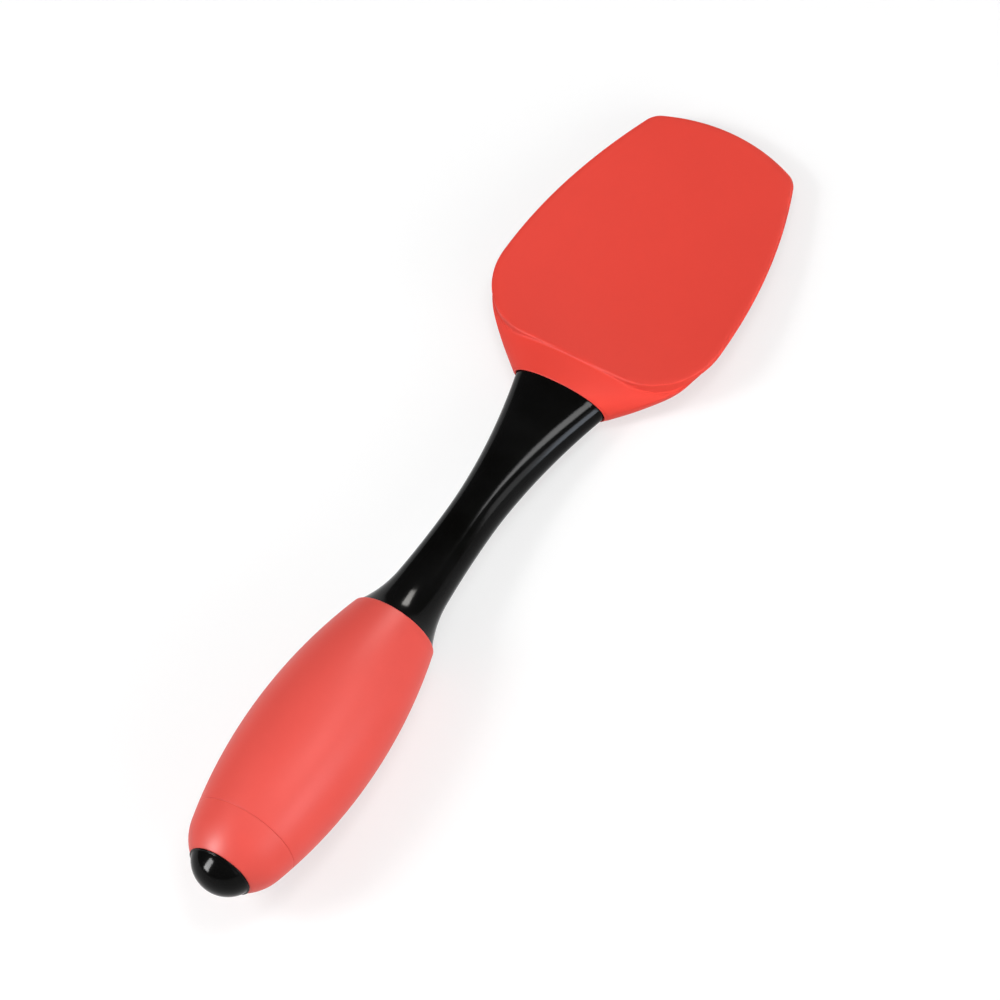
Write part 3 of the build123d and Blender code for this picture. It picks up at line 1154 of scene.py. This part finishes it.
first_ring = head_bm.edges[:]
for vert in head_bm.verts:
    vert.co = crest_point(vert, radians(crest_angles[0]))
ring_edges = first_ring
for angle in crest_angles[1:]:
    ring_edges = next_ring(head_bm, ring_edges, lambda vert: crest_point(vert, radians(angle)))
for number in range(1, face_rings + 1):
    ring_edges = next_ring(head_bm, ring_edges, lambda vert: face_point(vert, number / face_rings))
print("rim and face:", len(head_bm.faces), "faces")

# %% [markdown]
# Outwards from the crest, the skin drops down the rim's wall. At the free edges it rolls under the
# blade. At the lower edge it runs out into a soft valley instead, and onto the shoulder. From
# there every ring is a step along the lines back to the mouth.

# %% Wall, underside and shoulder
skin_rings = 44
ring_spacing_power = 1.25
foot_angles = (0, 30, 60, 90)
blade_blend = 1.6


def hull_height(line, station, sweep):
    """Distance from the middle, and height, of the skin on a line."""
    across, height = hull_section(station, sweep, line["upper"])
    blended = soft_lower(height, underside_height(station, across), blade_blend)
    if line["upper"]:
        return across, height + (blended - height) * line["free"]
    return across, blended


def foot_point(vert, angle):
    """Point at the wall's foot: it rolls under a free edge and out into the valley elsewhere."""
    line = lines[vert[line_layer]]
    free, rounding, point = line["free"], line["rounding"], line["point"]
    offset_under = rounding * (cos(angle) - 1)
    offset_out = valley_round * (1 - cos(angle))
    spot = offset_point(vert, offset_out + (offset_under - offset_out) * free)
    under = underside_height(point.y, point.x) + rounding * (1 - sin(angle))
    out = under
    if line["upper"]:
        sweep = sweep_to(point.y, point.x, True)
        out = hull_section(point.y, sweep, True)[1] + valley_round * (1 - sin(angle))
    spot.z = out + (under - out) * free
    return spot


def skin_point(vert, share):
    """Point on the skin between the mouth, at 0, and the rim, at 1."""
    line = lines[vert[line_layer]]
    station = mouth_station + (line["end"].y - mouth_station) * share
    sweep = line["start_sweep"] + (line["end_sweep"] - line["start_sweep"]) * share
    across, height = hull_height(line, station, sweep)
    return Vector((across * vert[side_layer], station, height))


ring_edges = first_ring
for angle in foot_angles:
    ring_edges = next_ring(head_bm, ring_edges, lambda vert: foot_point(vert, radians(angle)))
for number in range(skin_rings):
    share = (1 - number / skin_rings) ** ring_spacing_power
    ring_edges = next_ring(head_bm, ring_edges, lambda vert: skin_point(vert, share))
print("with the underside:", len(head_bm.faces), "faces")

# %% [markdown]
# The mouth's lip is only half a millimetre thick and fully round. Behind it the recess takes the
# neck's end, and a flat pocket takes the tongue with a little play, because the head really pulls
# off for washing. Only the small fillet at the tongue's root presses into the soft edge of the
# pocket.

# %% Lip, recess and pocket
lip_angles = (0, 36, 72, 108, 144, 180)
recess_half_width = neck_end_half_width + clearance
recess_half_height = neck_end_half_height + clearance
recess_station = neck_end_station + clearance
pocket_room = 1.0
pocket_root = (root_half_width + clearance, root_half_height + clearance, root_middle)
pocket_tip = (tip_half_width + clearance, tip_half_height + clearance, tip_middle)
pocket_rings = [
    (recess_station, recess_half_width, recess_half_height, 0, neck_end_power),
    (recess_station, *pocket_root, tongue_power),
    (tongue_end_station + pocket_room, *pocket_tip, tongue_power),
]


def mouth_point(vert, station, half_width, half_height, middle, power):
    """Point of a ring round the handle's line, on the line of a vertex."""
    line = lines[vert[line_layer]]
    turn = pi / 2 * (1 - line["start_sweep"]) * (1 if line["upper"] else -1)
    across, up = superellipse(turn, half_width, half_height, power)
    return Vector((across * vert[side_layer], station, middle + up))


def lip_point(vert, angle):
    """Point on the lip's round edge: angle 0 outside, 180 degrees inside."""
    outer_share = (1 + cos(angle)) / 2
    half_width = recess_half_width + lip_wall * outer_share
    half_height = recess_half_height + lip_wall * outer_share
    station = mouth_station + lip_wall / 2 * (1 - sin(angle))
    return mouth_point(vert, station, half_width, half_height, 0, neck_end_power)


for vert in {vert for edge in ring_edges for vert in edge.verts}:
    vert.co = lip_point(vert, 0)
for angle in lip_angles[1:]:
    ring_edges = next_ring(head_bm, ring_edges, lambda vert: lip_point(vert, radians(angle)))
for ring in pocket_rings:
    ring_edges = next_ring(head_bm, ring_edges, lambda vert: mouth_point(vert, *ring))
bmesh.ops.edgeloop_fill(head_bm, edges=ring_edges)
finish_piece(head_bm, "scraper_head", "silicone_head", "head", red_silicone)
